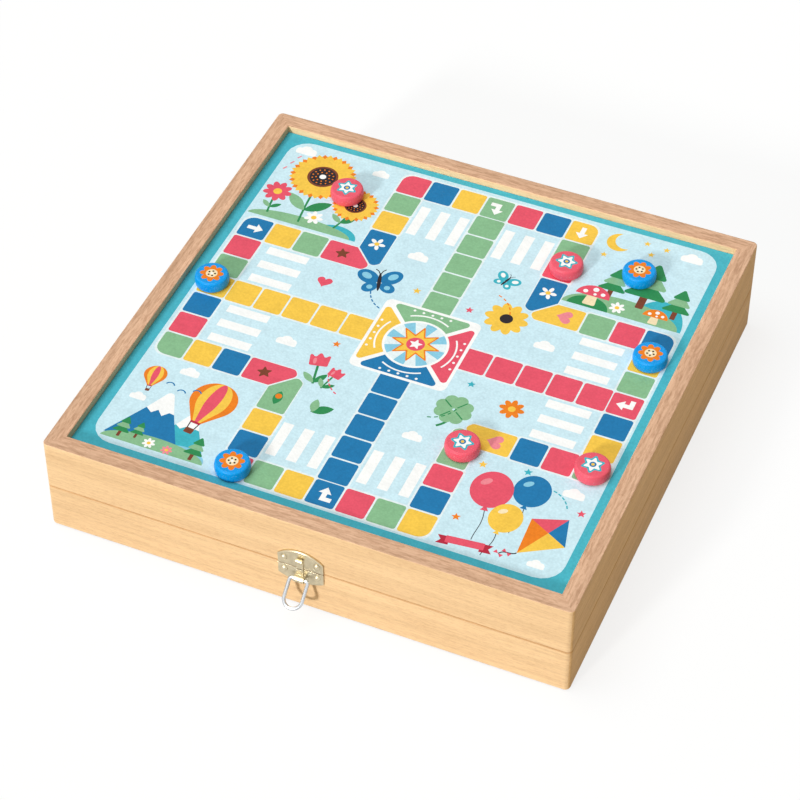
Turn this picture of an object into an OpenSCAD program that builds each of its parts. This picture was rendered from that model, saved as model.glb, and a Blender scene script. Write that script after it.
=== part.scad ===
// Games box: a hinged wooden case whose recessed lid top is a board for a race
// game. Discs stand on the board, and the rest of the set lies in the base.
// The origin is the centre of the underside, +Z is up and the clasp faces -Y.

/* [Box] */
// Outer width, left to right
box_w = 300; // [250:1:350]
// Outer depth, front to back
box_d = 300; // [250:1:350]
// Height of the base half, from its underside to the seam
base_h = 30; // [26:0.5:45]
// Height of the lid half, from the seam to the rim
lid_h = 32; // [28:0.5:45]
// Thickness of the wooden walls
wall_t = 10; // [9:0.5:14]
// Radius of the upright outer corners
corner_r = 3; // [1:0.5:6]

/* [Panels] */
// Thickness of the plywood bottom
base_panel_t = 4; // [3:0.5:6]
// Width of the step in the walls that holds the bottom
base_rebate = 5; // [3:0.5:6]
// Thickness of the plywood panel in the lid
lid_panel_t = 4; // [3:0.5:6]
// Depth of the groove in the walls that holds the lid panel
lid_groove = 4; // [2:0.5:5]
// Thickness of the printed sheet
board_t = 1; // [0.5:0.1:2]
// Depth of the printed sheet below the rim
board_recess = 4.5; // [3:0.5:8]
// Plain border between the track and the walls
board_margin = 9; // [6:0.5:14]
// Play between a panel's edges and its groove
panel_play = 0.15; // [0.05:0.05:0.3]

/* [Compartments] */
// Thickness of the divider strips
divider_t = 4; // [3:0.5:6]
// Height of the divider strips
divider_h = 18; // [12:0.5:19]
// Depth of the row of small compartments along the front
tray_d = 78; // [60:1:100]
// Width of the middle compartment, between the short dividers
dice_tray_w = 96; // [70:1:110]
// Depth of the slots that hold the long divider's ends
divider_slot = 2; // [1:0.5:4]
// Play between a divider and what it meets
divider_play = 0.1; // [0.05:0.05:0.25]

/* [Clasp] */
// Width of the clasp plates
clasp_w = 26; // [20:0.5:32]
// Thickness of the clasp plates
plate_t = 0.9; // [0.6:0.1:1.5]
// Height of the upper plate's straight sides above the seam
lid_plate_side = 7.2; // [6.8:0.1:9]
// Height of the upper plate's arch above the seam
lid_plate_apex = 12.8; // [12:0.1:15]
// Depth of the lower plate's straight sides below the seam
base_plate_side = 7.6; // [7:0.1:9]
// Depth of the lower plate's arch below the seam
base_plate_apex = 11; // [10:0.1:13]
// Gap between each plate and the seam
plate_seam_gap = 0.3; // [0.2:0.1:0.6]
// Radius of the rolled rim along the upper plate's arch
rim_r = 0.75; // [0.5:0.05:1]
// How far the rolled rim overhangs the arch
rim_overhang = 0.15; // [0.1:0.05:0.3]
// Width of the raised strap in the middle of both plates
strap_w = 3.6; // [3:0.1:4.5]
// Thickness of the raised strap
strap_t = 0.8; // [0.5:0.1:1.2]
// Radius of the hook's rolled lip
lip_r = 1.1; // [0.8:0.1:1.3]
// Height of the lip's centre above the seam
lip_up = 6.9; // [6:0.1:7.2]
// Distance of the lip's centre from the plate
lip_out = 1.5; // [1.2:0.1:1.8]

/* [Bail] */
// Diameter of the bail's wire
wire_d = 2; // [1.6:0.1:2.2]
// Distance between the middles of the bail's two legs
bail_w = 10.4; // [9.4:0.1:11]
// Depth of the bail's pivot below the seam
pivot_drop = 6.3; // [5.8:0.1:7]
// Distance of the bail's pivot from the plate
pivot_out = 2.2; // [2:0.1:2.6]
// Inner radius of the bends between the bail's legs and its pins
bend_inner_r = 0.4; // [0.2:0.1:0.6]
// Width of the rolled ear that holds the bail's pins
ear_w = 6; // [4.5:0.1:6.2]
// Wall of the rolled ear
ear_wall = 0.7; // [0.5:0.1:0.9]
// Play between the bail's loop and the hook it passes over
hook_play = 0.5; // [0.4:0.1:0.8]
// Angle at which the bail stands out, from hanging straight down
bail_rest_angle = 48; // [20:1:70]

/* [Hinges] */
// Distance of each hinge's middle from the box's side
hinge_inset = 55; // [45:1:90]
// Width of a hinge
hinge_w = 26; // [22:0.5:32]
// Height of a hinge leaf from the seam
leaf_h = 14; // [12:0.5:18]
// Thickness of a hinge leaf
leaf_t = 1; // [0.8:0.1:1.2]
// Outer radius of the hinge knuckles
knuckle_r = 2; // [1.8:0.1:2.4]
// Radius of the hinge pin
hinge_pin_r = 1; // [0.8:0.05:1.2]
// Gap between the barrel and the back of the box, and between moving edges
hinge_gap = 0.2; // [0.15:0.05:0.3]
// Angle at which the ears stop the lid
lid_stop_angle = 105; // [95:1:115]
// Length of a stop ear beyond the knuckle
stop_ear_l = 4; // [3:0.5:5]

/* [Screws] */
// Radius of a screw's domed head
head_r = 2; // [1.6:0.1:2.2]
// Height of a screw's domed head
head_h = 1.2; // [0.8:0.1:1.4]
// Radius of a screw's shank
shank_r = 0.9; // [0.7:0.1:1]
// Length of a screw under its head
shank_l = 7; // [5:0.5:8]
// Radial play of pins and shanks in their holes
hole_play = 0.05; // [0.02:0.01:0.1]
// Distance of the clasp's screws from the middle
clasp_screw_x = 9.4; // [8.8:0.1:10]
// Height of the upper plate's screws above the seam
lid_screw_up = 5.2; // [4:0.1:5.4]
// Depth of the lower plate's screws below the seam
base_screw_down = 3.6; // [3:0.1:5]
// Distance of a hinge's screws from its middle
hinge_screw_x = 7.5; // [6:0.1:8.5]
// Height of a hinge's screws above or below the seam
hinge_screw_z = 9; // [8:0.5:10]

/* [Playing pieces] */
// Diameter of a disc
disc_d = 19.5; // [17:0.5:22]
// Thickness of a disc
disc_h = 7; // [5:0.5:9]
// Radius of a disc's eased edges
disc_edge_r = 1.3; // [0.5:0.1:2]
// Bulge of a disc's side
disc_bulge = 0.3; // [0.1:0.1:0.6]
// Distance between the middles of two stored discs
stored_pitch = 26; // [24:0.5:28]
// Edge length of a die
die_s = 14; // [12:0.5:16]
// Radius of a die's pips
pip_r = 1.2; // [0.8:0.1:1.4]
// Depth of a die's pips
pip_deep = 0.5; // [0.3:0.1:0.8]

/* [Hidden] */

$fn = 48;
cut = 1;                              // how far a cutting shape runs past a face

wood_colour = [0.93, 0.77, 0.56];
ply_colour = [0.87, 0.74, 0.55];
board_colour = [0.24, 0.69, 0.75];
nickel_colour = [0.78, 0.78, 0.75];
blue_colour = [0.05, 0.58, 0.92];
pink_colour = [0.94, 0.38, 0.46];
green_colour = [0.42, 0.72, 0.42];
yellow_colour = [0.98, 0.77, 0.20];
die_colour = [0.96, 0.95, 0.91];

// Heights
box_h = base_h + lid_h;
seam_z = base_h;
board_top_z = box_h - board_recess;
lid_panel_z = board_top_z - board_t - lid_panel_t;

// Inside of the walls
open_w = box_w - 2 * wall_t;
open_d = box_d - 2 * wall_t;

// Dividers: the long one has the front row of compartments before it
long_divider_y = -open_d / 2 + tray_d + divider_t / 2;
short_divider_x = dice_tray_w / 2 + divider_t / 2;

// Clasp
wire_r = wire_d / 2;
ear_bore_r = wire_r + hole_play;
ear_r = ear_bore_r + ear_wall;
bend_r = bend_inner_r + wire_r;
pin_overlap = 0.9;                    // how near the bail's pins come to the middle
hook_reach = norm([pivot_drop + lip_up, pivot_out - lip_out]) + lip_r;
bail_l = hook_reach + hook_play + wire_r;

// Hinges: five knuckles across a hinge, three on the base and two on the lid
hinge_x = box_w / 2 - hinge_inset;
knuckles = 5;
base_knuckles = [0, 2, 4];
lid_knuckles = [1, 3];
knuckle_pitch = hinge_w / knuckles;
barrel_out = knuckle_r + hinge_gap;
pin_head_r = (hinge_pin_r + knuckle_r) / 2;
pin_head_t = 0.6;

// Track steps, from the middle of the board
track_cells = 15;
step_x = (open_w - 2 * board_margin) / track_cells;
step_y = (open_d - 2 * board_margin) / track_cells;
blue_spots = [[-7.1, 0.15], [-2.9, -7.1], [7.1, 2.2], [5.5, 5.7]];
pink_spots = [[-4.8, 5.7], [3.15, -3.65], [7.1, -3], [3.2, 5.15]];

// Side compartments, between a side wall and a short divider
side_tray_x = (open_w / 2 + short_divider_x + divider_t / 2) / 2;
tray_y = -open_d / 2 + tray_d / 2;

// Points of a circular arc, from angle a to angle b
function arc(x, y, r, a, b, steps = 6) =
    [for (i = [0:steps]) let (t = a + (b - a) * i / steps) [x + r * cos(t), y + r * sin(t)]];

// ---------------------------------------------------------------- walls

// Plan of the front wall of a frame: mitred ends, rounded outer corners
module wall_plan(length, across) {
    end = length / 2;
    face = -across / 2;
    polygon(concat(
        [[-end + wall_t, face + wall_t]],
        arc(-end + corner_r, face + corner_r, corner_r, 225, 270),
        arc(end - corner_r, face + corner_r, corner_r, 270, 315),
        [[end - wall_t, face + wall_t]]
    ));
}

// A wall of one half of the box; side 0 is the front, then right, back, left
module wall(side, z_low, z_high) {
    length = side % 2 == 0 ? box_w : box_d;
    across = side % 2 == 0 ? box_d : box_w;
    translate([0, 0, z_low])
        rotate([0, 0, 90 * side])
            linear_extrude(z_high - z_low)
                wall_plan(length, across);
}

// The space a panel takes up, let into all four walls
module panel_space(let_in, z_low, z_high) {
    w = open_w + 2 * let_in;
    d = open_d + 2 * let_in;
    translate([-w / 2, -d / 2, z_low])
        cube([w, d, z_high - z_low]);
}

module base_wall(side)
    difference() {
        wall(side, 0, seam_z);
        panel_space(base_rebate, -cut, base_panel_t);
    }

module lid_wall(side)
    difference() {
        wall(side, seam_z, box_h);
        panel_space(lid_groove, lid_panel_z, lid_panel_z + lid_panel_t + panel_play);
    }

module base_front_wall()
    color(wood_colour)
        difference() {
            base_wall(0);
            clasp_pilot_holes(-base_screw_down);
        }

module base_back_wall()
    color(wood_colour)
        difference() {
            base_wall(2);
            hinge_pilot_holes(-1);
        }

module base_side_wall(side)
    color(wood_colour)
        difference() {
            base_wall(side);
            long_divider_body(divider_play, cut);
        }

module lid_front_wall()
    color(wood_colour)
        difference() {
            lid_wall(0);
            clasp_pilot_holes(lid_screw_up);
        }

module lid_back_wall()
    color(wood_colour)
        difference() {
            lid_wall(2);
            hinge_pilot_holes(1);
        }

module lid_side_wall(side)
    color(wood_colour)
        lid_wall(side);

// ---------------------------------------------------------------- panels

// A panel with play all round in what holds its edges
module panel(let_in, z_low, thickness)
    panel_space(let_in - panel_play, z_low, z_low + thickness);

module base_panel()
    color(ply_colour)
        panel(base_rebate, 0, base_panel_t);

module lid_panel()
    color(ply_colour)
        panel(lid_groove, lid_panel_z, lid_panel_t);

module game_board()
    color(board_colour)
        panel(0, board_top_z - board_t, board_t);

// ---------------------------------------------------------------- dividers

// The long divider, or the slots for it when grown by play and taller
module long_divider_body(play, taller) {
    w = open_w + 2 * divider_slot - 2 * divider_play + 2 * play;
    t = divider_t + 2 * play;
    translate([-w / 2, long_divider_y - t / 2, base_panel_t])
        cube([w, t, divider_h + (taller > 0 ? base_h - base_panel_t - divider_h + taller : 0)]);
}

module divider_long()
    color(ply_colour)
        long_divider_body(0, 0);

module divider_short(side)
    color(ply_colour)
        translate([side * short_divider_x - divider_t / 2, -open_d / 2 + divider_play, base_panel_t])
            cube([divider_t, tray_d - 2 * divider_play, divider_h]);

// ---------------------------------------------------------------- screws

// A domed screw along +Z, its head standing on z = 0
module screw() {
    dome_r = (head_r * head_r + head_h * head_h) / (2 * head_h);
    dome_angle = asin(head_r / dome_r);
    rotate_extrude()
        polygon(concat(
            [[0, 0]],
            arc(0, head_h - dome_r, dome_r, 90 - dome_angle, 90, 8)
        ));
    translate([0, 0, -shank_l + shank_r])
        cylinder(h = shank_l - shank_r, r = shank_r);
    translate([0, 0, -shank_l])
        cylinder(h = shank_r, r1 = 0, r2 = shank_r);
}

// The hole for a screw, through a plate of the given thickness and the wood
module screw_hole(through)
    translate([0, 0, -shank_l - through])
        cylinder(h = shank_l + through + cut, r = shank_r + hole_play);

// ---------------------------------------------------------------- clasp

// From clasp axes to the box: x across, y up from the seam, z out of the front
module on_front()
    translate([0, -box_d / 2, seam_z])
        rotate([90, 0, 0])
            children();

module clasp_screw_places(up)
    for (side = [-1, 1])
        translate([side * clasp_screw_x, up, 0])
            children();

module clasp_pilot_holes(up)
    on_front()
        clasp_screw_places(up)
            screw_hole(0);

module clasp_screws(up)
    color(nickel_colour)
        on_front()
            clasp_screw_places(up)
                translate([0, 0, plate_t])
                    screw();

// Radius of an arch over the clasp's width that rises by this much
function arch_r(rise) = (clasp_w * clasp_w / 4 + rise * rise) / (2 * rise);

// A plate above the seam with straight sides and an arched top
module clasp_plate_body(side_h, apex_h, screw_up) {
    r = arch_r(apex_h - side_h);
    difference() {
        linear_extrude(plate_t)
            intersection() {
                translate([-clasp_w / 2, plate_seam_gap])
                    square([clasp_w, apex_h]);
                translate([0, apex_h - r])
                    circle(r, $fn = 160);
            }
        clasp_screw_places(screw_up)
            screw_hole(0);
    }
}

// The rolled rim that follows the upper plate's arch
module arch_rim(side_h, apex_h) {
    r = arch_r(apex_h - side_h);
    half_angle = asin(clasp_w / 2 / r);
    translate([0, apex_h - r, plate_t])
        rotate([0, 0, 90 - half_angle])
            rotate_extrude(angle = 2 * half_angle, $fn = 160)
                translate([r + rim_overhang - rim_r, 0])
                    circle(rim_r, $fn = 24);
}

// A cylinder along x, centred on x = 0
module across(length, r)
    translate([-length / 2, 0, 0])
        rotate([0, 90, 0])
            cylinder(h = length, r = r);

module clasp_lid_plate()
    color(nickel_colour)
        on_front() {
            clasp_plate_body(lid_plate_side, lid_plate_apex, lid_screw_up);
            arch_rim(lid_plate_side, lid_plate_apex);
            translate([-strap_w / 2, plate_seam_gap, plate_t])
                cube([strap_w, lip_up - plate_seam_gap, strap_t]);
            translate([0, lip_up, plate_t + lip_out])
                across(strap_w, lip_r);
        }

module clasp_base_plate()
    color(nickel_colour)
        on_front()
            mirror([0, 1, 0])
                difference() {
                    union() {
                        clasp_plate_body(base_plate_side, base_plate_apex, base_screw_down);
                        translate([-strap_w / 2, plate_seam_gap, plate_t])
                            cube([strap_w, pivot_drop - plate_seam_gap, strap_t]);
                        translate([-ear_w / 2, pivot_drop - ear_r, plate_t])
                            cube([ear_w, ear_r, pivot_out]);
                        translate([0, pivot_drop, plate_t + pivot_out])
                            across(ear_w, ear_r);
                    }
                    translate([0, pivot_drop, plate_t + pivot_out])
                        across(ear_w + 2 * cut, ear_bore_r);
                }

// One leg of the bail at +x: the pin in the ear, a bend and the straight leg
module bail_leg() {
    translate([pin_overlap, 0, 0])
        rotate([0, 90, 0])
            cylinder(h = bail_w / 2 - bend_r - pin_overlap, r = wire_r);
    translate([bail_w / 2 - bend_r, -bend_r, 0])
        rotate_extrude(angle = 90)
            translate([bend_r, 0])
                circle(wire_r);
    translate([bail_w / 2, -bend_r, 0])
        rotate([90, 0, 0])
            cylinder(h = bail_l - bail_w / 2 - bend_r, r = wire_r);
}

module clasp_bail()
    color(nickel_colour)
        on_front()
            translate([0, -pivot_drop, plate_t + pivot_out])
                rotate([-bail_rest_angle, 0, 0]) {
                    bail_leg();
                    mirror([1, 0, 0])
                        bail_leg();
                    translate([0, -bail_l + bail_w / 2, 0])
                        rotate([0, 0, 180])
                            rotate_extrude(angle = 180)
                                translate([bail_w / 2, 0])
                                    circle(wire_r);
                }

// ---------------------------------------------------------------- hinges

// From hinge axes to the box: z up from the seam, y out of the back
module on_back(side)
    translate([side * hinge_x, box_d / 2, seam_z])
        children();

// The places of a leaf's screws, z pointing out of the back
module hinge_screw_places(up)
    for (side = [-1, 1])
        translate([side * hinge_screw_x, 0, up * hinge_screw_z])
            rotate([-90, 0, 0])
                children();

module hinge_pilot_holes(up)
    for (side = [-1, 1])
        on_back(side)
            hinge_screw_places(up)
                screw_hole(0);

module hinge_screws(up)
    color(nickel_colour)
        for (side = [-1, 1])
            on_back(side)
                hinge_screw_places(up)
                    translate([0, 0, leaf_t])
                        screw();

// A leaf with its knuckles, drawn upwards from the seam
module hinge_leaf_body(own_knuckles) {
    plate_low = knuckle_r + hinge_gap;
    knuckle_w = knuckle_pitch - hinge_gap;
    difference() {
        union() {
            translate([-hinge_w / 2, 0, plate_low])
                cube([hinge_w, leaf_t, leaf_h - plate_low]);
            for (i = own_knuckles)
                translate([(i + 0.5) * knuckle_pitch - hinge_w / 2, 0, 0]) {
                    translate([-knuckle_w / 2, 0, 0])
                        cube([knuckle_w, leaf_t, plate_low]);
                    translate([0, barrel_out, 0])
                        across(knuckle_w, knuckle_r);
                }
        }
        translate([0, barrel_out, 0])
            across(hinge_w + 2 * cut, hinge_pin_r + hole_play);
        hinge_screw_places(1)
            screw_hole(0);
    }
}

// Ears that meet the base leaf when the lid is open, drawn where they stop
module stop_ears() {
    ear_t = barrel_out - leaf_t - hinge_gap;
    knuckle_w = knuckle_pitch - hinge_gap;
    for (i = lid_knuckles)
        translate([(i + 0.5) * knuckle_pitch - hinge_w / 2 - knuckle_w / 2, 0, 0])
            translate([0, -ear_t, -knuckle_r - stop_ear_l])
                cube([knuckle_w, ear_t, knuckle_r + stop_ear_l - hinge_pin_r - hole_play]);
}

module hinge_lid_leaf(side)
    color(nickel_colour)
        on_back(side) {
            hinge_leaf_body(lid_knuckles);
            translate([0, barrel_out, 0])
                rotate([lid_stop_angle, 0, 0])
                    stop_ears();
        }

module hinge_base_leaf(side)
    color(nickel_colour)
        on_back(side)
            mirror([0, 0, 1])
                hinge_leaf_body(base_knuckles);

module hinge_pin(side)
    color(nickel_colour)
        on_back(side)
            translate([0, barrel_out, 0]) {
                across(hinge_w + 2 * pin_head_t, hinge_pin_r);
                for (end = [-1, 1])
                    translate([end * (hinge_w + pin_head_t) / 2, 0, 0])
                        across(pin_head_t, pin_head_r);
            }

// ---------------------------------------------------------------- playing pieces

// A disc with eased edges and a slightly bulging side, standing on z = 0
module disc() {
    r = disc_d / 2 - disc_bulge;
    bulge_half = disc_h / 2 - disc_edge_r;
    bulge_r = (bulge_half * bulge_half + disc_bulge * disc_bulge) / (2 * disc_bulge);
    bulge_angle = asin(bulge_half / bulge_r);
    rotate_extrude($fn = 64)
        polygon(concat(
            [[0, 0]],
            arc(r - disc_edge_r, disc_edge_r, disc_edge_r, 270, 360),
            arc(disc_d / 2 - bulge_r, disc_h / 2, bulge_r, -bulge_angle, bulge_angle, 8),
            arc(r - disc_edge_r, disc_h - disc_edge_r, disc_edge_r, 0, 90),
            [[0, disc_h]]
        ));
}

module board_disc(colour, spots, i)
    color(colour)
        translate([spots[i][0] * step_x, spots[i][1] * step_y, board_top_z])
            disc();

// Four discs lie two by two in a side compartment
module stored_disc(colour, side, i)
    color(colour)
        translate([
            side * side_tray_x + (i % 2 - 0.5) * stored_pitch,
            tray_y + (floor(i / 2) - 0.5) * stored_pitch,
            base_panel_t
        ])
            disc();

// Pips of one face of a die, as places across the face
function pips(n) =
    let (a = die_s / 4)
    concat(
        n % 2 == 1 ? [[0, 0]] : [],
        n > 1 ? [[-a, -a], [a, a]] : [],
        n > 3 ? [[-a, a], [a, -a]] : [],
        n == 6 ? [[-a, 0], [a, 0]] : []
    );

// Cutting shapes for the pips of the face that points to +z
module face_pips(n)
    for (p = pips(n))
        translate([p[0], p[1], die_s / 2 - pip_deep])
            cylinder(h = pip_deep + cut, r = pip_r, $fn = 24);

module die(x, turn)
    color(die_colour)
        translate([x, tray_y, base_panel_t + die_s / 2])
            rotate([0, 0, turn])
                difference() {
                    intersection() {
                        cube(die_s, center = true);
                        sphere(r = die_s * 0.74, $fn = 64);
                    }
                    face_pips(1);
                    rotate([90, 0, 0])
                        face_pips(2);
                    rotate([0, 90, 0])
                        face_pips(3);
                    rotate([0, -90, 0])
                        face_pips(4);
                    rotate([-90, 0, 0])
                        face_pips(5);
                    rotate([180, 0, 0])
                        face_pips(6);
                }

// ---------------------------------------------------------------- assembly

base_front_wall();
base_back_wall();
base_side_wall(3);  // base_left_wall
base_side_wall(1);  // base_right_wall
base_panel();
divider_long();
divider_short(-1);  // divider_left
divider_short(1);  // divider_right
clasp_base_plate();
clasp_screws(-base_screw_down);  // clasp_base_screws
hinge_base_leaf(-1);  // hinge_left_base_leaf
hinge_base_leaf(1);  // hinge_right_base_leaf
hinge_pin(-1);  // hinge_left_pin
hinge_pin(1);  // hinge_right_pin
hinge_screws(-1);  // hinge_base_screws
lid_front_wall();
lid_back_wall();
lid_side_wall(3);  // lid_left_wall
lid_side_wall(1);  // lid_right_wall
lid_panel();
game_board();
clasp_lid_plate();
clasp_screws(lid_screw_up);  // clasp_lid_screws
hinge_lid_leaf(-1);  // hinge_left_lid_leaf
hinge_lid_leaf(1);  // hinge_right_lid_leaf
hinge_screws(1);  // hinge_lid_screws
clasp_bail();
board_disc(blue_colour, blue_spots, 0);  // disc_blue_1
board_disc(blue_colour, blue_spots, 1);  // disc_blue_2
board_disc(blue_colour, blue_spots, 2);  // disc_blue_3
board_disc(blue_colour, blue_spots, 3);  // disc_blue_4
board_disc(pink_colour, pink_spots, 0);  // disc_pink_1
board_disc(pink_colour, pink_spots, 1);  // disc_pink_2
board_disc(pink_colour, pink_spots, 2);  // disc_pink_3
board_disc(pink_colour, pink_spots, 3);  // disc_pink_4
stored_disc(green_colour, -1, 0);  // disc_green_1
stored_disc(green_colour, -1, 1);  // disc_green_2
stored_disc(green_colour, -1, 2);  // disc_green_3
stored_disc(green_colour, -1, 3);  // disc_green_4
stored_disc(yellow_colour, 1, 0);  // disc_yellow_1
stored_disc(yellow_colour, 1, 1);  // disc_yellow_2
stored_disc(yellow_colour, 1, 2);  // disc_yellow_3
stored_disc(yellow_colour, 1, 3);  // disc_yellow_4
die(-die_s, 20);  // die_1
die(die_s, -35);  // die_2
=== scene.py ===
"""The looks of a hinged wooden games box, built around its packed construction model.

The lid's printed board is a race-game track with generic motifs, cut out of one flat sheet.
Sizes are in millimetres where a name ends in _MM or a comment says so, and otherwise in metres.
"""
from math import acos, atan2, cos, pi, radians, sin, tan

import bmesh
import bpy
from mathutils import Matrix, Vector
from mathutils.geometry import delaunay_2d_cdt


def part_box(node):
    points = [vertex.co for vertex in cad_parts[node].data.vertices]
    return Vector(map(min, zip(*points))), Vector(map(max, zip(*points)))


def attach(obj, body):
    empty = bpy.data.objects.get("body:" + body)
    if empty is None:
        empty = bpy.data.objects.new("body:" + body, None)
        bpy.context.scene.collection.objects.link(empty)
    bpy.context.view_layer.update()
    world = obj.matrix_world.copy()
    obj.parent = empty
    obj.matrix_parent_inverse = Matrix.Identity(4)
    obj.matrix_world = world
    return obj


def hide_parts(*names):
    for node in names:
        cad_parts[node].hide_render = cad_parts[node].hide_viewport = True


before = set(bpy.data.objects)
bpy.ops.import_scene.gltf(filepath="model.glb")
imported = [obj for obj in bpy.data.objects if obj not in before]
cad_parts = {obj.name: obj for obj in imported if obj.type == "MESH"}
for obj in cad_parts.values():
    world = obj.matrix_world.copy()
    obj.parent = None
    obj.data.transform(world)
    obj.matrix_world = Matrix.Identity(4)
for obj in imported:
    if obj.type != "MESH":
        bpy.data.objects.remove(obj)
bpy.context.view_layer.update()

MM = 0.001

# --- sizes from the frame ---

front_lo, front_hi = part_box("base_front_wall")
board_lo, board_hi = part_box("game_board")
lid_panel_lo, lid_panel_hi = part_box("lid_panel")
base_panel_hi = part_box("base_panel")[1]

BOX_D = -2 * front_lo.y
BOX_W = 2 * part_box("base_right_wall")[1].x
WALL_T = front_hi.y - front_lo.y
SEAM_Z = front_hi.z
RIM_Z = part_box("lid_front_wall")[1].z
BOARD_MM = (board_hi.x - board_lo.x) / MM

# --- colours ---


def rgb(r, g, b):
    """A linear colour from 0 to 255 screen values."""
    def linear(v):
        v /= 255
        return v / 12.92 if v <= 0.04045 else ((v + 0.055) / 1.055) ** 2.4
    return (linear(r), linear(g), linear(b), 1.0)


def shaded(colour, factor):
    """The colour made darker or lighter by a factor."""
    return tuple(min(1.0, c * factor) for c in colour[:3]) + (1.0,)


def grey(value):
    return (value, value, value, 1.0)


SIDES = ("front", "right", "back", "left")

WOOD_FACE = rgb(255, 221, 177)
WOOD_SEAM_SHADE = rgb(232, 190, 142)  # painted shade on the edges that meet at the seam, for the shade in the seam's groove
WOOD_RIM = rgb(238, 197, 167)
RIM_TINTS = (  # the rim's tint from its outer to its inner edge
    (0.0, (0.90, 0.885, 0.855, 1)), (0.45, (0.95, 0.93, 0.90, 1)), (1.0, (1.0, 0.97, 0.94, 1)),
)
PAINTED_INNER_SHADE = ((0.9, (1, 1, 1, 1)), (1.0, (0.62, 0.74, 0.80, 1)))  # painted shade, with a teal cast, that darkens a wall's inner face (only the lid's left wall takes it)
BOARD_TONES_AND_RIGHT_SHADE = (  # of the boards of the four sides: slight differences at random, and painted shade on the right board, darker and more orange
    (1.0, 1.0, 1.0), (0.95, 0.875, 0.74), (0.98, 0.96, 0.93), (1.0, 0.98, 0.96),
)
PLYWOOD = rgb(232, 200, 154)
# Both are one nickel plating: the plates' warm tone is a painted reflection of the wood around them, and
# the bail's cooler one is a painted reflection of the pale surroundings.
NICKEL_WOOD_REFLECTION = rgb(214, 201, 170)
NICKEL_PALE_REFLECTION = rgb(206, 210, 214)

INKS = {
    "film": rgb(75, 182, 202),
    "field": rgb(208, 238, 250),
    "pale": rgb(234, 247, 252),
    "white": rgb(252, 253, 254),
    "red": rgb(234, 88, 110),
    "deep_red": rgb(184, 44, 66),
    "blue": rgb(34, 122, 178),
    "yellow": rgb(250, 204, 80),
    "green": rgb(139, 190, 146),
    "deep_green": rgb(48, 140, 84),
    "orange": rgb(241, 132, 36),
    "teal": rgb(64, 182, 200),
    "sky": rgb(140, 206, 232),
    "dark": rgb(42, 34, 40),
    "brown": rgb(124, 66, 46),
    "rose": rgb(242, 140, 152),
    "cream": rgb(251, 231, 190),
}
LACQUERS = {
    "blue": rgb(0, 156, 238),
    "pink": rgb(238, 92, 112),
    "green": rgb(92, 178, 98),
    "yellow": rgb(250, 190, 44),
}

# --- materials ---


def node(tree, kind, inputs=None, **settings):
    """Adds a shader node of this kind; an input is a value or another node's output."""
    made = tree.nodes.new("ShaderNode" + kind)
    for key, value in settings.items():
        setattr(made, key, value)
    for key, value in (inputs or {}).items():
        socket = made.inputs[key]
        if isinstance(value, bpy.types.NodeSocket):
            tree.links.new(value, socket)
        else:
            socket.default_value = value
    return made


def ramp(tree, factor, stops):
    """A colour ramp through (position, colour) stops."""
    made = node(tree, "ValToRGB", {"Fac": factor})
    elements = made.color_ramp.elements
    while len(elements) < len(stops):
        elements.new(0.5)
    for element, (position, colour) in zip(elements, stops):
        element.position = position
        element.color = colour
    return made.outputs["Color"]


def mixed(tree, factor, a, b, blend="MIX"):
    """Two colours mixed by a factor."""
    made = node(tree, "Mix", {0: factor, 6: a, 7: b}, data_type="RGBA", blend_type=blend)
    return made.outputs[2]


def own_place(tree):
    """The point's place in the piece's own axes."""
    return node(tree, "TexCoord").outputs["Object"]


def stretched_noise(tree, offset, per_metre, detail):
    """Noise with its own number of features per metre along each axis of the piece."""
    mapping = node(tree, "Mapping", {
        "Vector": own_place(tree), "Location": offset, "Scale": per_metre,
    })
    return node(tree, "TexNoise", {
        "Vector": mapping.outputs["Vector"], "Scale": 1.0, "Detail": detail, "Roughness": 0.55,
    }).outputs["Fac"]


def bumped(tree, bsdf, height, distance):
    """Gives the surface this relief; the distance is its depth in metres."""
    bump = node(tree, "Bump", {"Height": height, "Distance": distance})
    tree.links.new(bump.outputs["Normal"], bsdf.inputs["Normal"])


def coated(tree, bsdf, tone, pattern, *stops):
    """Plugs in a colour, and a roughness through (position, roughness) stops of a pattern."""
    tree.links.new(tone, bsdf.inputs["Base Color"])
    rough = ramp(tree, pattern, [(position, grey(value)) for position, value in stops])
    tree.links.new(rough, bsdf.inputs["Roughness"])


def new_material(name):
    """A material, with its tree and its main shader."""
    material = bpy.data.materials.new(name)
    material.use_nodes = True
    tree = material.node_tree
    return material, tree, tree.nodes["Principled BSDF"]


# Layers of streaks in wood: features per metre along and across the grain, the noise levels
# between which the streak fades out, and its tint.
FACE_GRAIN = (
    (4, 90, 0.34, 0.64, (0.91, 0.89, 0.87, 1)),
    (25, 700, 0.34, 0.60, (0.91, 0.89, 0.87, 1)),
    (260, 1300, 0.38, 0.50, (0.93, 0.90, 0.88, 1)),
    (620, 2800, 0.32, 0.42, (0.91, 0.88, 0.86, 1)),
)
RIM_GRAIN = (
    (8, 170, 0.34, 0.64, (0.88, 0.855, 0.835, 1)),
    (60, 700, 0.36, 0.60, (0.81, 0.78, 0.755, 1)),
    (190, 900, 0.38, 0.52, (0.84, 0.80, 0.775, 1)),
    (500, 2600, 0.33, 0.42, (0.86, 0.81, 0.78, 1)),
)
PLY_GRAIN = (
    (5, 60, 0.34, 0.62, (0.90, 0.87, 0.84, 1)),
    (30, 600, 0.34, 0.56, (0.90, 0.87, 0.84, 1)),
    (300, 2400, 0.34, 0.44, (0.78, 0.72, 0.68, 1)),
)


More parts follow.
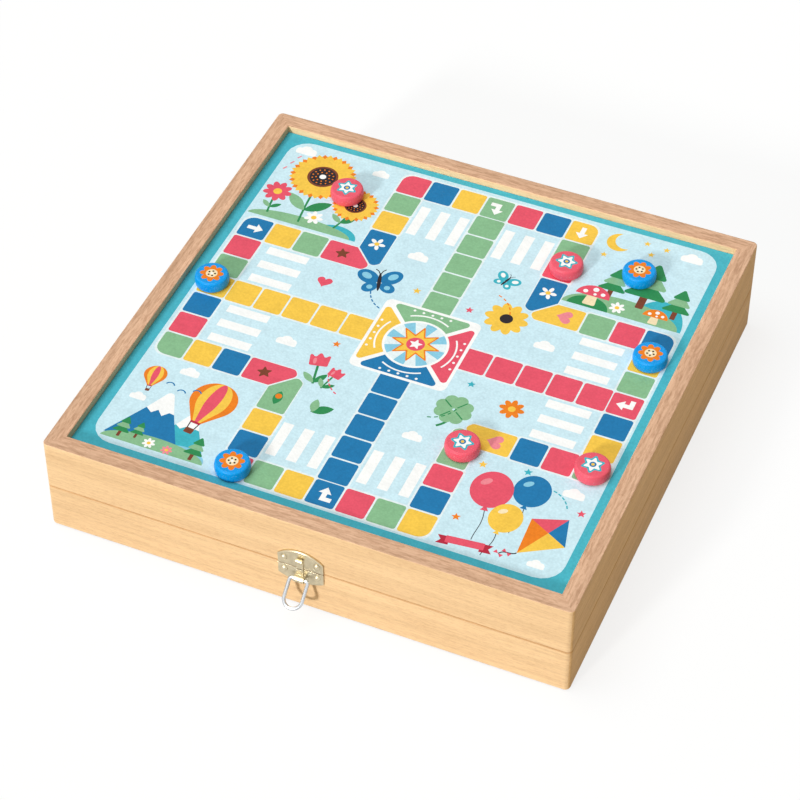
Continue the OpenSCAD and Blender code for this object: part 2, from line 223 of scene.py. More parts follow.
def wood(name, colour, seed, layers, depth_tints=None, roughness=0.56):
    """Oiled wood with its grain along local X; depth_tints are ramp stops inwards from the outer face."""
    material, tree, bsdf = new_material(name)
    offset = (1.7 * seed, 0.31 * seed, 0.83 * seed)
    tone = colour
    for along, across, low, high, tint in layers:
        streaks = stretched_noise(tree, offset, (along, across, across), 2)
        tone = mixed(tree, 1.0, tone, ramp(tree, streaks, [(low, tint), (high, grey(1.0))]), "MULTIPLY")
    if depth_tints:
        depth = node(tree, "SeparateXYZ", {"Vector": own_place(tree)}).outputs["Y"]
        share = node(tree, "MapRange", {
            "Value": depth, "From Min": -BOX_D / 2, "From Max": -BOX_D / 2 + WALL_T,
        }).outputs["Result"]
        tone = mixed(tree, 1.0, tone, ramp(tree, share, depth_tints), "MULTIPLY")
    fibres = stretched_noise(tree, offset, (70, 2200, 2200), 3)
    coated(tree, bsdf, tone, fibres, (0.2, roughness + 0.12), (0.8, roughness - 0.06))
    bsdf.inputs["Specular IOR Level"].default_value = 0.12
    bumped(tree, bsdf, fibres, 0.00005)
    return material


def ink(name, colour, emboss_shade=0.12):
    """Ink on an embossed film: an even colour with faint blotches and a leather-like grain, with painted
    shade in the grain's hollows.
    """
    material, tree, bsdf = new_material(name)
    blotch = stretched_noise(tree, (0.2, 0.7, 0.1), (140, 140, 140), 3)
    tone = ramp(tree, blotch, [(0.3, shaded(colour, 0.95)), (0.7, shaded(colour, 1.04))])
    mapping = node(tree, "Mapping", {"Vector": own_place(tree), "Scale": (800, 800, 800)})
    grain = node(tree, "TexVoronoi", {
        "Vector": mapping.outputs["Vector"], "Scale": 1.0, "Randomness": 0.9,
    }, feature="SMOOTH_F1").outputs["Distance"]
    # painted shade: the colour darkens towards the grain's hollows and lifts a little on its tops
    emboss_painted_shade = ramp(tree, grain, [(0.15, grey(1.02)), (0.75, grey(1.02 - emboss_shade))])
    tone = mixed(tree, 1.0, tone, emboss_painted_shade, "MULTIPLY")
    coated(tree, bsdf, tone, blotch, (0.3, 0.45), (0.7, 0.56))
    bsdf.inputs["Specular IOR Level"].default_value = 0.12
    bumped(tree, bsdf, ramp(tree, grain, [(0.1, grey(1.0)), (0.8, grey(0.0))]), 0.00006)
    return material


def lacquer(name, colour):
    """Opaque satin paint on turned wood: faint turning rings, dust and thin spots."""
    material, tree, bsdf = new_material(name)
    cloud = stretched_noise(tree, (0.3, 0.2, 0.5), (90, 90, 90), 4)
    rings = stretched_noise(tree, (0.1, 0.6, 0.2), (160, 160, 900), 3)
    dust = stretched_noise(tree, (0.7, 0.1, 0.6), (1500, 1500, 1500), 2)
    tone = ramp(tree, cloud, [(0.3, shaded(colour, 0.92)), (0.55, colour), (0.75, shaded(colour, 1.08))])
    tone = mixed(tree, 1.0, tone, ramp(tree, rings, [(0.32, grey(0.93)), (0.55, grey(1.0))]), "MULTIPLY")
    tone = mixed(tree, ramp(tree, dust, [(0.62, grey(0.0)), (0.72, grey(0.2))]), tone, grey(0.9))
    coated(tree, bsdf, tone, cloud, (0.3, 0.34), (0.7, 0.46))
    bsdf.inputs["Specular IOR Level"].default_value = 0.22
    bumped(tree, bsdf, rings, 0.00004)
    return material


def nickel(name, colour, roughness=0.28):
    """Bright nickel plate: brushed along X, clouded by handling, with small pits."""
    material, tree, bsdf = new_material(name)
    brush = stretched_noise(tree, (0.5, 0.2, 0.4), (120, 5000, 5000), 3)
    cloud = stretched_noise(tree, (0.9, 0.3, 0.1), (260, 260, 260), 5)
    tone = ramp(tree, cloud, [(0.3, shaded(colour, 0.78)), (0.62, colour), (0.8, shaded(colour, 1.1))])
    coated(tree, bsdf, tone, cloud, (0.3, roughness + 0.14), (0.65, roughness))
    bsdf.inputs["Metallic"].default_value = 1.0
    bumped(tree, bsdf, mixed(tree, 0.35, brush, cloud), 0.00003)
    return material


def plastic(name, colour, roughness=0.3):
    """Moulded plastic with a faint orange-peel skin."""
    material, tree, bsdf = new_material(name)
    peel = stretched_noise(tree, (0.1, 0.4, 0.8), (900, 900, 900), 2)
    tone = ramp(tree, peel, [(0.3, shaded(colour, 0.96)), (0.7, shaded(colour, 1.02))])
    tree.links.new(tone, bsdf.inputs["Base Color"])
    bsdf.inputs["Roughness"].default_value = roughness
    bumped(tree, bsdf, peel, 0.00002)
    return material


def four_woods(name, colour, seed, layers, left_painted_shade=None):
    """The same wood from four boards, one for each of SIDES, of slightly different tone; the right board's
    tone is darker and more orange as painted shade, and the left board's inner face can take painted shade
    too.
    """
    woods = []
    for side, tone in enumerate(BOARD_TONES_AND_RIGHT_SHADE):
        shade = tuple(c * t for c, t in zip(colour, tone)) + (1.0,)
        # painted shade on the inner face of the left board only
        painted_shade_tints = left_painted_shade if SIDES[side] == "left" else None
        woods.append(wood(f"{name}_{side}", shade, seed + side, layers, painted_shade_tints))
    return woods


base_woods = four_woods("beech_base", WOOD_FACE, 11, FACE_GRAIN)
lid_woods = four_woods("beech_lid", WOOD_FACE, 3, FACE_GRAIN, PAINTED_INNER_SHADE)
seam_shade_woods = four_woods("beech_seam_shade", WOOD_SEAM_SHADE, 27, FACE_GRAIN)
rim_woods = [wood(f"beech_rim_{side}", WOOD_RIM, 19 + side, RIM_GRAIN, RIM_TINTS) for side in range(4)]
plywood = wood("birch_ply", PLYWOOD, 31, PLY_GRAIN, roughness=0.6)
nickel_plate = nickel("nickel_plate", NICKEL_WOOD_REFLECTION)
nickel_pale_reflection = nickel("nickel_pale_reflection", NICKEL_PALE_REFLECTION, 0.22)
inks = {name: ink("ink_" + name, colour) for name, colour in INKS.items()}
inks["white"] = ink("ink_white", INKS["white"], 0.05)

# --- mesh helpers ---


def linked(name, data):
    """A new object in the scene."""
    made = bpy.data.objects.new(name, data)
    bpy.context.scene.collection.objects.link(made)
    return made


def made_object(name, mesh, materials, smooth_below=40.0):
    """Links a mesh as an object; edges sharper than the angle, in degrees, stay crisp."""
    build = bmesh.new()
    build.from_mesh(mesh)
    bmesh.ops.recalc_face_normals(build, faces=build.faces)
    for face in build.faces:
        face.smooth = True
    for edge in build.edges:
        edge.smooth = len(edge.link_faces) == 2 and edge.calc_face_angle(0) < radians(smooth_below)
    build.to_mesh(mesh)
    build.free()
    piece = linked(name, mesh)
    for material in materials:
        mesh.materials.append(material)
    flatten = piece.modifiers.new("flat_faces_stay_flat", "WEIGHTED_NORMAL")
    flatten.mode = "FACE_AREA_WITH_ANGLE"
    flatten.keep_sharp = True
    return piece


def mesh_of(name, build):
    """The finished mesh of a build, which is freed."""
    mesh = bpy.data.meshes.new(name)
    build.to_mesh(mesh)
    build.free()
    return mesh


def settle(piece, body, slot, *replaced):
    """Says which body a piece rides on and which nodes it stands for; the finish that it is given is not
    used.
    """
    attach(piece, body)
    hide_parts(*replaced)


EDGE_SHARE = 0.49  # a rounded corner takes less than half of the edges that it joins


def rounded(corners, radius, steps=5):
    """A polygon with its corners rounded by one radius, or by one for each corner."""
    count = len(corners)
    radii = [radius] * count if isinstance(radius, (int, float)) else radius
    points = []
    for i, corner in enumerate(corners):
        here = Vector(corner)
        to_last = Vector(corners[i - 1]) - here
        to_next = Vector(corners[(i + 1) % count]) - here
        if radii[i] <= 0:
            points.append(tuple(here))
            continue
        u, v = to_last.normalized(), to_next.normalized()
        half = acos(max(-1.0, min(1.0, u.dot(v)))) / 2
        reach = min(radii[i] / tan(half), EDGE_SHARE * to_last.length, EDGE_SHARE * to_next.length)
        r = reach * tan(half)
        centre = here + (u + v).normalized() * (r / sin(half))
        start, end = here + u * reach - centre, here + v * reach - centre
        first = atan2(start.y, start.x)
        sweep = (atan2(end.y, end.x) - first + pi) % (2 * pi) - pi
        for k in range(steps + 1):
            angle = first + sweep * k / steps
            points.append((centre.x + r * cos(angle), centre.y + r * sin(angle)))
    return points


# --- wooden walls ---

CORNER_R = 3.0 * MM  # upright outer corners
FOOT_EASE = 1.2 * MM  # eased lower edge of the base
TOP_EASE = 0.5 * MM  # eased outer edge of the rim
INNER_EASE = 0.5 * MM  # eased inner edges
SEAM_EASE = 0.60 * MM  # edges that meet at the seam
SEAM_GAP = 0.15 * MM  # how far the closed halves stay apart
SEAM_SHADE_REACH = 1.2 * MM  # how deep the painted shade on the edges at the seam reaches into the seam
PANEL_PLAY = 0.15 * MM  # between a panel and its groove
MITRE_SINK = 0.008  # how much a mitred end shrinks, as a share of the section
CORNER_STEPS = 5  # of the eighth of a turn up to a mitre
RIM_SLOPE = 0.6  # least upward part of the normal of a face of the rim


def base_section():
    """The base walls' section, as depth from the outer face and height, with its eased edges."""
    step = BOX_W / 2 - base_panel_hi.x - PANEL_PLAY
    top, seam = base_panel_hi.z, SEAM_Z - SEAM_GAP / 2
    corners = [
        (0, 0), (0, seam), (SEAM_SHADE_REACH, seam), (WALL_T, seam), (WALL_T, top), (step, top), (step, 0),
    ]
    return rounded(corners, [FOOT_EASE, SEAM_EASE, 0, INNER_EASE, 0, 0, 0])


def lid_section():
    """The lid walls' section, with the groove for the panel."""
    bottom = BOX_W / 2 - lid_panel_hi.x - PANEL_PLAY
    low, high = lid_panel_lo.z, lid_panel_hi.z + PANEL_PLAY
    seam = SEAM_Z + SEAM_GAP / 2
    corners = [
        (0, seam), (0, RIM_Z), (WALL_T, RIM_Z), (WALL_T, high),
        (bottom, high), (bottom, low), (WALL_T, low), (WALL_T, seam), (SEAM_SHADE_REACH, seam),
    ]
    return rounded(corners, [SEAM_EASE, TOP_EASE, INNER_EASE, 0, 0, 0, 0, INNER_EASE, 0])


def wall_stations(section, length, across):
    """The section's points along a front wall, from one mitre round both corners to the other."""
    end, face = length / 2, -across / 2
    middle = Vector((sum(a for a, z in section), sum(z for a, z in section))) / len(section)

    def corner_station(turn, sink=0.0):
        points = []
        for a, z in section:
            a, z = a + (middle.x - a) * sink, z + (middle.y - z) * sink
            if a < CORNER_R:
                r = CORNER_R - a
                x, y = end - CORNER_R + r * sin(turn), face + CORNER_R - r * cos(turn)
            else:
                x, y = end - a, face + a
            points.append((x, y, z))
        return points

    turns = [radians(45) * k / CORNER_STEPS for k in range(CORNER_STEPS + 1)]
    half = [corner_station(t) for t in turns] + [corner_station(turns[-1], MITRE_SINK)]
    mirrored = [[(-x, y, z) for x, y, z in station] for station in reversed(half)]
    return mirrored + half


def in_seam(a, z):
    """Whether a point of a section belongs to the edge at the seam that takes painted shade."""
    return a <= SEAM_SHADE_REACH and abs(z - SEAM_Z) <= SEAM_GAP / 2 + SEAM_EASE + 0.0001 * MM


def wall_mesh(name, section, length, across):
    """A mitred wall; its rim has the second material and its edge at the seam the third."""
    build = bmesh.new()
    rows = [[build.verts.new(p) for p in station] for station in wall_stations(section, length, across)]
    count = len(section)
    for row, following in zip(rows, rows[1:]):
        for i in range(count):
            j = (i + 1) % count
            corners = (row[i], row[j], following[j], following[i])
            if len({tuple(round(c, 8) for c in v.co) for v in corners}) > 2:
                face = build.faces.new(corners)
                face.material_index = 2 if in_seam(*section[i]) and in_seam(*section[j]) else 0
    build.faces.new(rows[0])
    build.faces.new(rows[-1][::-1])
    bmesh.ops.remove_doubles(build, verts=build.verts, dist=0.0001 * MM)
    bmesh.ops.recalc_face_normals(build, faces=build.faces)
    for face in build.faces:
        if face.normal.z > RIM_SLOPE and face.calc_center_median().z > RIM_Z - MM:
            face.material_index = 1
    return mesh_of(name, build)


def make_walls(half, section, woods, rims):
    """One half's four walls: a front wall's mesh, turned to each side."""
    for side, word in enumerate(SIDES):
        length, across = (BOX_W, BOX_D) if side % 2 == 0 else (BOX_D, BOX_W)
        name = f"{half}_{word}_wall"
        mesh = wall_mesh(name, section, length, across)
        piece = made_object(name + "_wood", mesh, [woods[side], rims[side], seam_shade_woods[side]])
        piece.rotation_euler.z = radians(90 * side)
        settle(piece, half, "beech", name)


make_walls("base", base_section(), base_woods, base_woods)
make_walls("lid", lid_section(), lid_woods, rim_woods)

for name in ("base_panel", "lid_panel", "divider_long", "divider_left", "divider_right"):
    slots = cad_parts[name].data.materials
    slots.clear()
    slots.append(plywood)

# --- flat outlines ---
# Outlines are lists of (x, y) in millimetres. A drawing is a list of (ink, outline) pairs in the
# order of painting: what comes later covers what came before.


def placed(points, x=0.0, y=0.0, turn=0.0, scale=1.0):
    """Points scaled, turned in degrees and moved."""
    c, s = cos(radians(turn)) * scale, sin(radians(turn)) * scale
    return [(x + c * px - s * py, y + s * px + c * py) for px, py in points]


def put(drawing, shapes, x=0.0, y=0.0, turn=0.0):
    """Adds shapes to a drawing at a place."""
    drawing.extend((paint, placed(points, x, y, turn)) for paint, points in shapes)


def put_all(drawing, *placings):
    """Adds motifs to a drawing, each given with its place and turn."""
    for shapes, *place in placings:
        put(drawing, shapes, *place)


def scaled(shapes, scale):
    return [(paint, placed(points, scale=scale)) for paint, points in shapes]


def ellipse(rx, ry, x=0.0, y=0.0, turn=0.0, steps=36):
    angles = [2 * pi * k / steps for k in range(steps)]
    return placed([(rx * cos(a), ry * sin(a)) for a in angles], x, y, turn)


def circle(r, x=0.0, y=0.0, steps=36):
    return ellipse(r, r, x, y, 0.0, steps)


def bar(w, h, r=0.0, x=0.0, y=0.0, turn=0.0):
    corners = [(-w / 2, -h / 2), (w / 2, -h / 2), (w / 2, h / 2), (-w / 2, h / 2)]
    return placed(rounded(corners, r), x, y, turn)


def star(tips, outer, inner, soft=0.0, x=0.0, y=0.0, turn=0.0):
    corners = []
    for k in range(2 * tips):
        r = outer if k % 2 == 0 else inner
        angle = pi * k / tips + pi / 2
        corners.append((r * cos(angle), r * sin(angle)))
    return placed(rounded(corners, soft, 3), x, y, turn)


def leaf(length, width, turn=0.0, x=0.0, y=0.0):
    """A pointed leaf that starts at x, y and grows along the turn."""
    edge = [(length * k / 10, width / 2 * sin(pi * k / 10) ** 0.8) for k in range(11)]
    return placed(edge + [(px, -py) for px, py in edge[-2:0:-1]], x, y, turn)


def arc(r, start, end, x=0.0, y=0.0, steps=24):
    angles = [radians(start + (end - start) * k / steps) for k in range(steps + 1)]
    return [(x + r * cos(a), y + r * sin(a)) for a in angles]


def at_angle(r, angle):
    """The point at this distance and angle from the middle."""
    return r * cos(radians(angle)), r * sin(radians(angle))


def line(points, width):
    """A line of even width through points."""
    left, right = [], []
    for i, point in enumerate(points):
        ahead = Vector(points[min(i + 1, len(points) - 1)])
        behind = Vector(points[max(i - 1, 0)])
        along = (ahead - behind).normalized()
        side = Vector((-along.y, along.x)) * width / 2
        left.append(tuple(Vector(point) + side))
        right.append(tuple(Vector(point) - side))
    return left + right[::-1]


def mound(rx, ry):
    """The upper half of an ellipse."""
    return [(rx * cos(a), ry * sin(a)) for a in [pi * k / 32 for k in range(33)]]


def signed_area(points):
    """Above zero for an outline that runs anticlockwise."""
    return sum(x0 * y1 - x1 * y0 for (x0, y0), (x1, y1) in zip(points, points[1:] + points[:1])) / 2


TRIANGLES_INSIDE = 1  # the triangulation's kind of result


def print_faces(build, drawing, z, index_of):
    """Adds a drawing's upward faces; its first shape is the ground, and nothing lies outside it."""
    places, outlines = [], []
    for _, points in drawing:
        first = len(places)
        places += [Vector(p) for p in (points if signed_area(points) > 0 else points[::-1])]
        outlines.append(list(range(first, len(places))))
    found, _, triangles, _, _, covers = delaunay_2d_cdt(places, [], outlines, TRIANGLES_INSIDE, 1e-4)
    corners = {}
    for triangle, cover in zip(triangles, covers):
        if 0 not in cover:
            continue
        for i in triangle:
            if i not in corners:
                corners[i] = build.verts.new((found[i].x * MM, found[i].y * MM, z))
        face = build.faces.new([corners[i] for i in triangle])
        face.material_index = index_of[drawing[max(cover)][0]]


# --- motifs, about their own middle ---


def cloud(w):
    """A puffy cloud of this width."""
    puffs = ((-0.28, 0.0, 0.17), (-0.04, 0.09, 0.24), (0.22, 0.02, 0.19))
    shapes = [("white", circle(r * w, x * w, y * w)) for x, y, r in puffs]
    return shapes + [("white", bar(0.86 * w, 0.2 * w, 0.1 * w, -0.01 * w, -0.08 * w))]


def sunflower(r, petals):
    shapes = []
    for paint, lag in (("orange", 0.5), ("yellow", 0.0)):
        for k in range(petals):
            shapes.append((paint, leaf(r, r * 0.42, 360 * (k + lag) / petals)))
    shapes += [("brown", circle(r * 0.46)), ("dark", circle(r * 0.39))]
    for ring, seeds in ((0.31, 14), (0.20, 9)):
        for k in range(seeds):
            shapes.append(("orange", circle(r * 0.026, *at_angle(r * ring, 360 * k / seeds), 8)))
    return shapes + [("white", circle(r * 0.1, steps=16))]


def daisy(r, petal, middle, petals):
    shapes = []
    for k in range(petals):
        angle = 360 * k / petals
        shapes.append((petal, ellipse(r * 0.42, r * 0.24, *at_angle(r * 0.6, angle), angle, 20)))
    return shapes + [(middle, circle(r * 0.3, steps=24))]


def stalk(height, lean):
    """A stem that ends at the origin, with a pair of leaves."""
    curve = [(lean * (k / 8) ** 2, -height * k / 8) for k in range(9)]
    x, y = curve[6]
    return [
        ("deep_green", line(curve, 1.3)),
        ("deep_green", leaf(0.42 * height, 0.17 * height, 40, x, y)),
        ("green", leaf(0.42 * height, 0.17 * height, 140, x, y)),
    ]


def mushroom(h, cap):
    spots = ((-0.26, 0.55, 0.075), (0.02, 0.70, 0.09), (0.28, 0.56, 0.07), (0.05, 0.50, 0.05))
    stem = rounded([(-0.2, 0), (0.2, 0), (0.14, 0.5), (-0.14, 0.5)], 0.06)
    shapes = [("cream", stem), (cap, placed(mound(0.52, 0.46), 0, 0.4))]
    shapes += [("white", circle(r, x, y, 16)) for x, y, r in spots]
    return scaled(shapes, h)


def fir(h):
    shapes = [("brown", bar(0.12, 0.3, 0.02, 0, 0.1))]
    for k, (w, low, high) in enumerate(((0.74, 0.2, 0.58), (0.6, 0.42, 0.8), (0.44, 0.64, 1.0))):
        tier = rounded([(-w / 2, low), (w / 2, low), (0, high)], 0.04, 4)
        shapes.append(("green" if k == 1 else "deep_green", tier))
    return scaled(shapes, h)


def peak(w, h, paint):
    """A mountain with a snowy top."""
    mountain = rounded([(-w / 2, 0), (w / 2, 0), (0, h)], [0, 0, 2.5])
    lobes = [(-0.19, 0.62), (-0.1, 0.55), (-0.03, 0.63), (0.05, 0.54), (0.12, 0.63), (0.19, 0.62)]
    snow = [(x * w, y * h) for x, y in lobes] + arc(2.4, 27, 153, 0, h * 0.92, 6)
    return [(paint, mountain), ("white", snow)]


def striped_balloon(h):
    """A hot-air balloon of five gores, with its basket."""
    shapes = []
    for side in (-1, 1):
        shapes.append(("dark", line([(0.2 * side, -1.4), (0.15 * side, -1.8)], 0.05)))
    envelope = arc(1.0, -32, 212, steps=30) + [(-0.22, -1.42), (0.22, -1.42)]
    for share, paint in ((1.0, "orange"), (0.66, "yellow"), (0.28, "red")):
        shapes.append((paint, [(x * share, y) for x, y in envelope]))
    shapes += [("deep_red", bar(0.46, 0.12, 0.03, 0, -1.42)), ("brown", bar(0.38, 0.3, 0.06, 0, -1.92))]
    return scaled(shapes, h / 3.1)


def balloon(r, paint, light):
    string = [(0.9 * sin(k / 2.2), -r * 1.2 - k * r * 0.2) for k in range(11)]
    return [
        ("dark", line(string, 0.45)),
        (paint, rounded([(-r * 0.2, -r * 1.34), (r * 0.2, -r * 1.34), (0, -r)], 0)),
        (paint, ellipse(r, r * 1.14)),
        (light, ellipse(r * 0.3, r * 0.17, -r * 0.36, r * 0.42, 40, 20)),
    ]


def kite(h):
    half_w, up, down = 0.36, 0.4, 0.6
    tail = [(-0.022 * k + 0.02 * sin(k / 1.1), -down - 0.026 * k) for k in range(9)]
    shapes = [("dark", line(tail, 0.02))]
    for sx, sy, paint in ((-1, up, "red"), (1, up, "blue"), (1, -down, "yellow"), (-1, -down, "orange")):
        shapes.append((paint, [(0, 0), (sx * half_w, 0), (0, sy)]))
    for k in (4, 8):
        x, y = tail[k]
        for side in (-1, 1):
            shapes.append(("red", [(x, y), (x + 0.07 * side, y + 0.035), (x + 0.07 * side, y - 0.035)]))
    return scaled(shapes, h)


def ribbon(w):
    """A plain banner with folded, notched ends."""
    h = 0.2 * w
    shapes = []
    for s in (-1, 1):
        end = [(0.34 * s, -0.16), (0.62 * s, -0.16), (0.53 * s, -0.04), (0.62 * s, 0.08), (0.34 * s, 0.08)]
        shapes.append(("deep_red", placed(end, scale=w)))
    return shapes + [("red", bar(0.86 * w, h, 0.02 * w))]


def tulip(h, paint, light):
    cup = [(-0.26, 0.0), (0.26, 0.0), (0.3, 0.5), (0.13, 0.32), (0, 0.55), (-0.13, 0.32), (-0.3, 0.5)]
    shapes = [
        ("deep_green", bar(0.07, 0.7, 0, 0, -0.35)),
        ("deep_green", leaf(0.5, 0.2, 48, 0, -0.66)),
        ("green", leaf(0.5, 0.2, 132, 0, -0.66)),
        (paint, rounded(cup, 0.05, 3)),
        (light, ellipse(0.05, 0.12, -0.12, 0.18, steps=16)),
    ]
    return scaled(shapes, h)


def butterfly(w, paint, light):
    shapes = []
    for side in (-1, 1):
        shapes += [
            (paint, ellipse(0.28, 0.2, 0.27 * side, 0.16, 38 * side)),
            (paint, ellipse(0.2, 0.15, 0.2 * side, -0.18, -40 * side)),
            (light, ellipse(0.13, 0.09, 0.3 * side, 0.19, 38 * side, 20)),
            (light, circle(0.07, 0.2 * side, -0.18, 16)),
            ("dark", line([(0, 0.24), (0.05 * side, 0.36), (0.12 * side, 0.42)], 0.025)),
        ]
    shapes.append(("dark", ellipse(0.045, 0.3, steps=20)))
    return scaled(shapes, w)


def clover(w):
    shapes = [("deep_green", line(arc(0.52, -62, 8, -0.5, -0.1, 10), 0.06))]
    for k in range(4):
        for side in (-1, 1):
            x, y = placed([(0.26, 0.11 * side)], turn=90 * k + 45)[0]
            shapes.append(("green", circle(0.155, x, y, 24)))
        shapes.append(("green", placed(bar(0.3, 0.2, 0, 0.18, 0), turn=90 * k + 45)))
    for k in range(4):
        shapes.append(("deep_green", placed(bar(0.26, 0.03, 0, 0.22, 0), turn=90 * k + 45)))
    return scaled(shapes, w)


def heart(w, paint):
    outline = []
    for k in range(40):
        t = 2 * pi * k / 40
        rise = 13 * cos(t) - 5 * cos(2 * t) - 2 * cos(3 * t) - cos(4 * t)
        outline.append((16 * sin(t) ** 3, rise + 2.5))
    return scaled([(paint, outline)], w / 32)


def dashes(r, start, end, count, paint):
    """A trail of short dashes along an arc."""
    shapes = []
    for k in range(count):
        angle = start + (end - start) * (k + 0.5) / count
        shapes.append((paint, bar(2.3, 0.8, 0.3, *at_angle(r, angle), angle + 90)))
    return shapes


# --- the game's track ---

# All sizes of the print are in millimetres.
CELLS = 15  # track cells along a side
MARGIN = 9.0  # plain border outside the track
STEP = (BOARD_MM - 2 * MARGIN) / CELLS
CELL = 16.4  # a printed cell's size along the track
OVERHANG = 0.4  # how much further it reaches on each side of the track
CELL_R = 1.5  # its corner radius
BEND_R = 6.5  # outer corner of a cell at a bend of the track
BORDER = 1.1  # pale border round a cell
GATE_BORDER = 0.6
GATE_TIP = (12.2, 12.6)  # a gate's point, inwards from and beyond its cell's corner
GATE_END = 9.4  # how far the gate's far side reaches
SIGN_DROP = 2.5  # from a gate cell's middle to its sign's
STRIPES_X = (-38.3, -26.2, -14.1, 14.1, 26.2, 38.3)
STRIPES_Y = 95.1  # middles of the white bars inside an arm
STRIPE_W, STRIPE_L = 5.9, 25.0
FIELD_W, FIELD_D = 266.8, 267.3  # the pale field
FIELD_R = 13.0
FIELD_OFF = (-0.3, 0.65)  # its middle, from the track's
PRINT_OFF = (0.8, 1.25)  # the whole print's middle, from the sheet's
HOME = 28.6  # half the side of the home square
HOME_RIM = 1.8  # its white edge
HOME_SLIT = 2.0  # white between its triangles, at the corners
HOME_ARC_R, HOME_RING_R, HOME_SKY_R = 22.8, 18.6, 17.2

CYCLE = ("red", "blue", "yellow", "green")  # colours round the track
LANES = ("green", "red", "blue", "yellow")  # back, right, front and left lane
# The cells of the back arm, in steps from the board's middle, from gate to gate.
QUARTER = [(-3, 4), (-3, 5), (-3, 6)] + [(u, 7) for u in range(-3, 4)] + [(3, 6), (3, 5), (3, 4)]
STRAIGHT_ARROW = [(-1.4, -4.8), (1.4, -4.8), (1.4, 0.4), (3.8, 0.4), (0, 4.8), (-3.8, 0.4), (-1.4, 0.4)]
BENT_ARROW = [
    (5.0, -4.8), (5.0, -2.0), (1.4, -2.0), (1.4, 0.6), (3.6, 0.6),
    (0, 5.0), (-3.6, 0.6), (-1.4, 0.6), (-1.4, -4.8),
]


def cell_outline(u, v, grown=0.0):
    """A cell's outline about its own middle; cells at the track's bends have one round corner."""
    h = CELL / 2 + grown
    wide = h + OVERHANG
    left, right = (wide if u == -3 or v < 7 else h), (wide if u == 3 or v < 7 else h)
    low = h if v < 7 or abs(u) == 3 else wide
    high = wide if v == 7 else h
    high_radii = [BEND_R if (u, v) == bend else CELL_R for bend in ((3, 7), (-3, 7))]
    corners = [(-left, -low), (right, -low), (right, high), (-left, high)]
    return rounded(corners, [CELL_R, CELL_R] + high_radii)


def gate_outline(mirrored, grown=0.0):
    """The five-sided cell where two arms meet, with its long side towards the middle lane."""
    h, g = CELL / 2, grown
    corners = [
        (-h - g, h + g), (-h - g, -h - OVERHANG - g), (GATE_TIP[0] - h, -GATE_TIP[1] - h - g),
        (h + g, -GATE_END - h), (h + g, h + g),
    ]
    points = rounded(corners, [CELL_R, 1.0, 3.0, 3.0, CELL_R])
    return [(-x, y) for x, y in points][::-1] if mirrored else points


def gate_sign(colour):
    """A small plain sign for a gate cell: a star, a flower, a heart or a leaf."""
    if colour == "red":
        return [("brown", star(5, 4.8, 2.2, 0.4))]
    if colour == "blue":
        return daisy(5.0, "white", "yellow", 5)
    if colour == "yellow":
        return heart(10.0, "rose")
    return [("deep_green", leaf(10.5, 5.2, 90, 0, -5.2)), ("orange", circle(1.9, 0, -1.2, 20))]


def track():
    """The track with its gates, lanes, arrows and the white bars inside the arms."""
    borders, cells = [], []
    for q in range(4):
        under, over = [], []
        for k, (u, v) in enumerate(QUARTER):
            colour = CYCLE[(1 + k + q) % 4]
            x, y = u * STEP, v * STEP
            if k in (0, len(QUARTER) - 1):
                border, outline = gate_outline(k > 0, GATE_BORDER), gate_outline(k > 0)
                sign = gate_sign(colour)
            else:
                border, outline, sign = cell_outline(u, v, BORDER), cell_outline(u, v), []
            put(under, [("pale", border)], x, y)
            put(over, [(colour, outline)], x, y)
            put(over, sign, x, y - SIGN_DROP)
        for k in range(1, 6):
            w, y = CELL + 2 * OVERHANG, (7 - k) * STEP
            under.append(("pale", bar(w + 2 * BORDER, CELL + 2 * BORDER, CELL_R, 0, y)))
            over.append((LANES[q], bar(w, CELL, CELL_R, 0, y)))
        put(over, [("white", BENT_ARROW)], 0, 7 * STEP, 180)
        put(over, [("white", STRAIGHT_ARROW)], 3 * STEP, 7 * STEP, 180)
        over += [("white", bar(STRIPE_W, STRIPE_L, 0, x, STRIPES_Y)) for x in STRIPES_X]
        put(borders, under, turn=-90 * q)
        put(cells, over, turn=-90 * q)
    return borders + cells


def home():
    """The home square: four coloured triangles, a ring and a star."""
    inner = HOME - HOME_RIM
    shapes = [("white", bar(2 * HOME, 2 * HOME, 4.0))]
    for q, colour in enumerate(LANES):
        triangle = [(0, 1.4), (inner - HOME_SLIT, inner), (-inner + HOME_SLIT, inner)]
        side = [
            (colour, rounded(triangle, [0, 2.0, 2.0])),
            ("white", line(arc(HOME_ARC_R, 60, 120, steps=16), 1.0)),
        ]
        side += [("white", circle(0.8, 5.4 * k, inner - HOME_SLIT, 12)) for k in range(-2, 3)]
        put(shapes, side, turn=-90 * q)
    shapes += [("white", circle(HOME_RING_R, steps=64)), ("sky", circle(HOME_SKY_R, steps=64))]
    for k in range(8):
        shapes.append(("pale", [(0, 0)] + arc(HOME_SKY_R, 45 * k, 45 * k + 22.5, steps=6)))
    return shapes + [
        ("orange", star(8, 15.0, 7.6, 0.5)),
        ("yellow", star(8, 12.8, 6.2, 0.4)),
        ("red", circle(5.2)),
        ("white", star(5, 4.1, 1.9, 0.2)),
    ]


# --- pictures in the corners ---


def flower_bed():
    """Back left, about the middle of its corner."""
    shapes = [("teal", placed(mound(13, 9), 20, -34)), ("green", placed(mound(32, 8), -2.5, -34))]
    put_all(
        shapes, (stalk(42, 3), -7, 11), (stalk(22, -4), 21, -6), (stalk(18, 2), -26, -12),
        (sunflower(20, 18), -7, 11), (sunflower(14, 14), 21, -5),
        (daisy(8.5, "red", "yellow", 9), -26, -11), (daisy(5.5, "white", "yellow", 7), 3, -24),
        (cloud(15), -25, 28), (cloud(12), 24, 26),
    )
    for x, y in ((-31, 10), (-29, 16), (-27, 22)):
        shapes.append(("rose", bar(3.0, 1.0, 0.3, x, y, 60)))
    return shapes


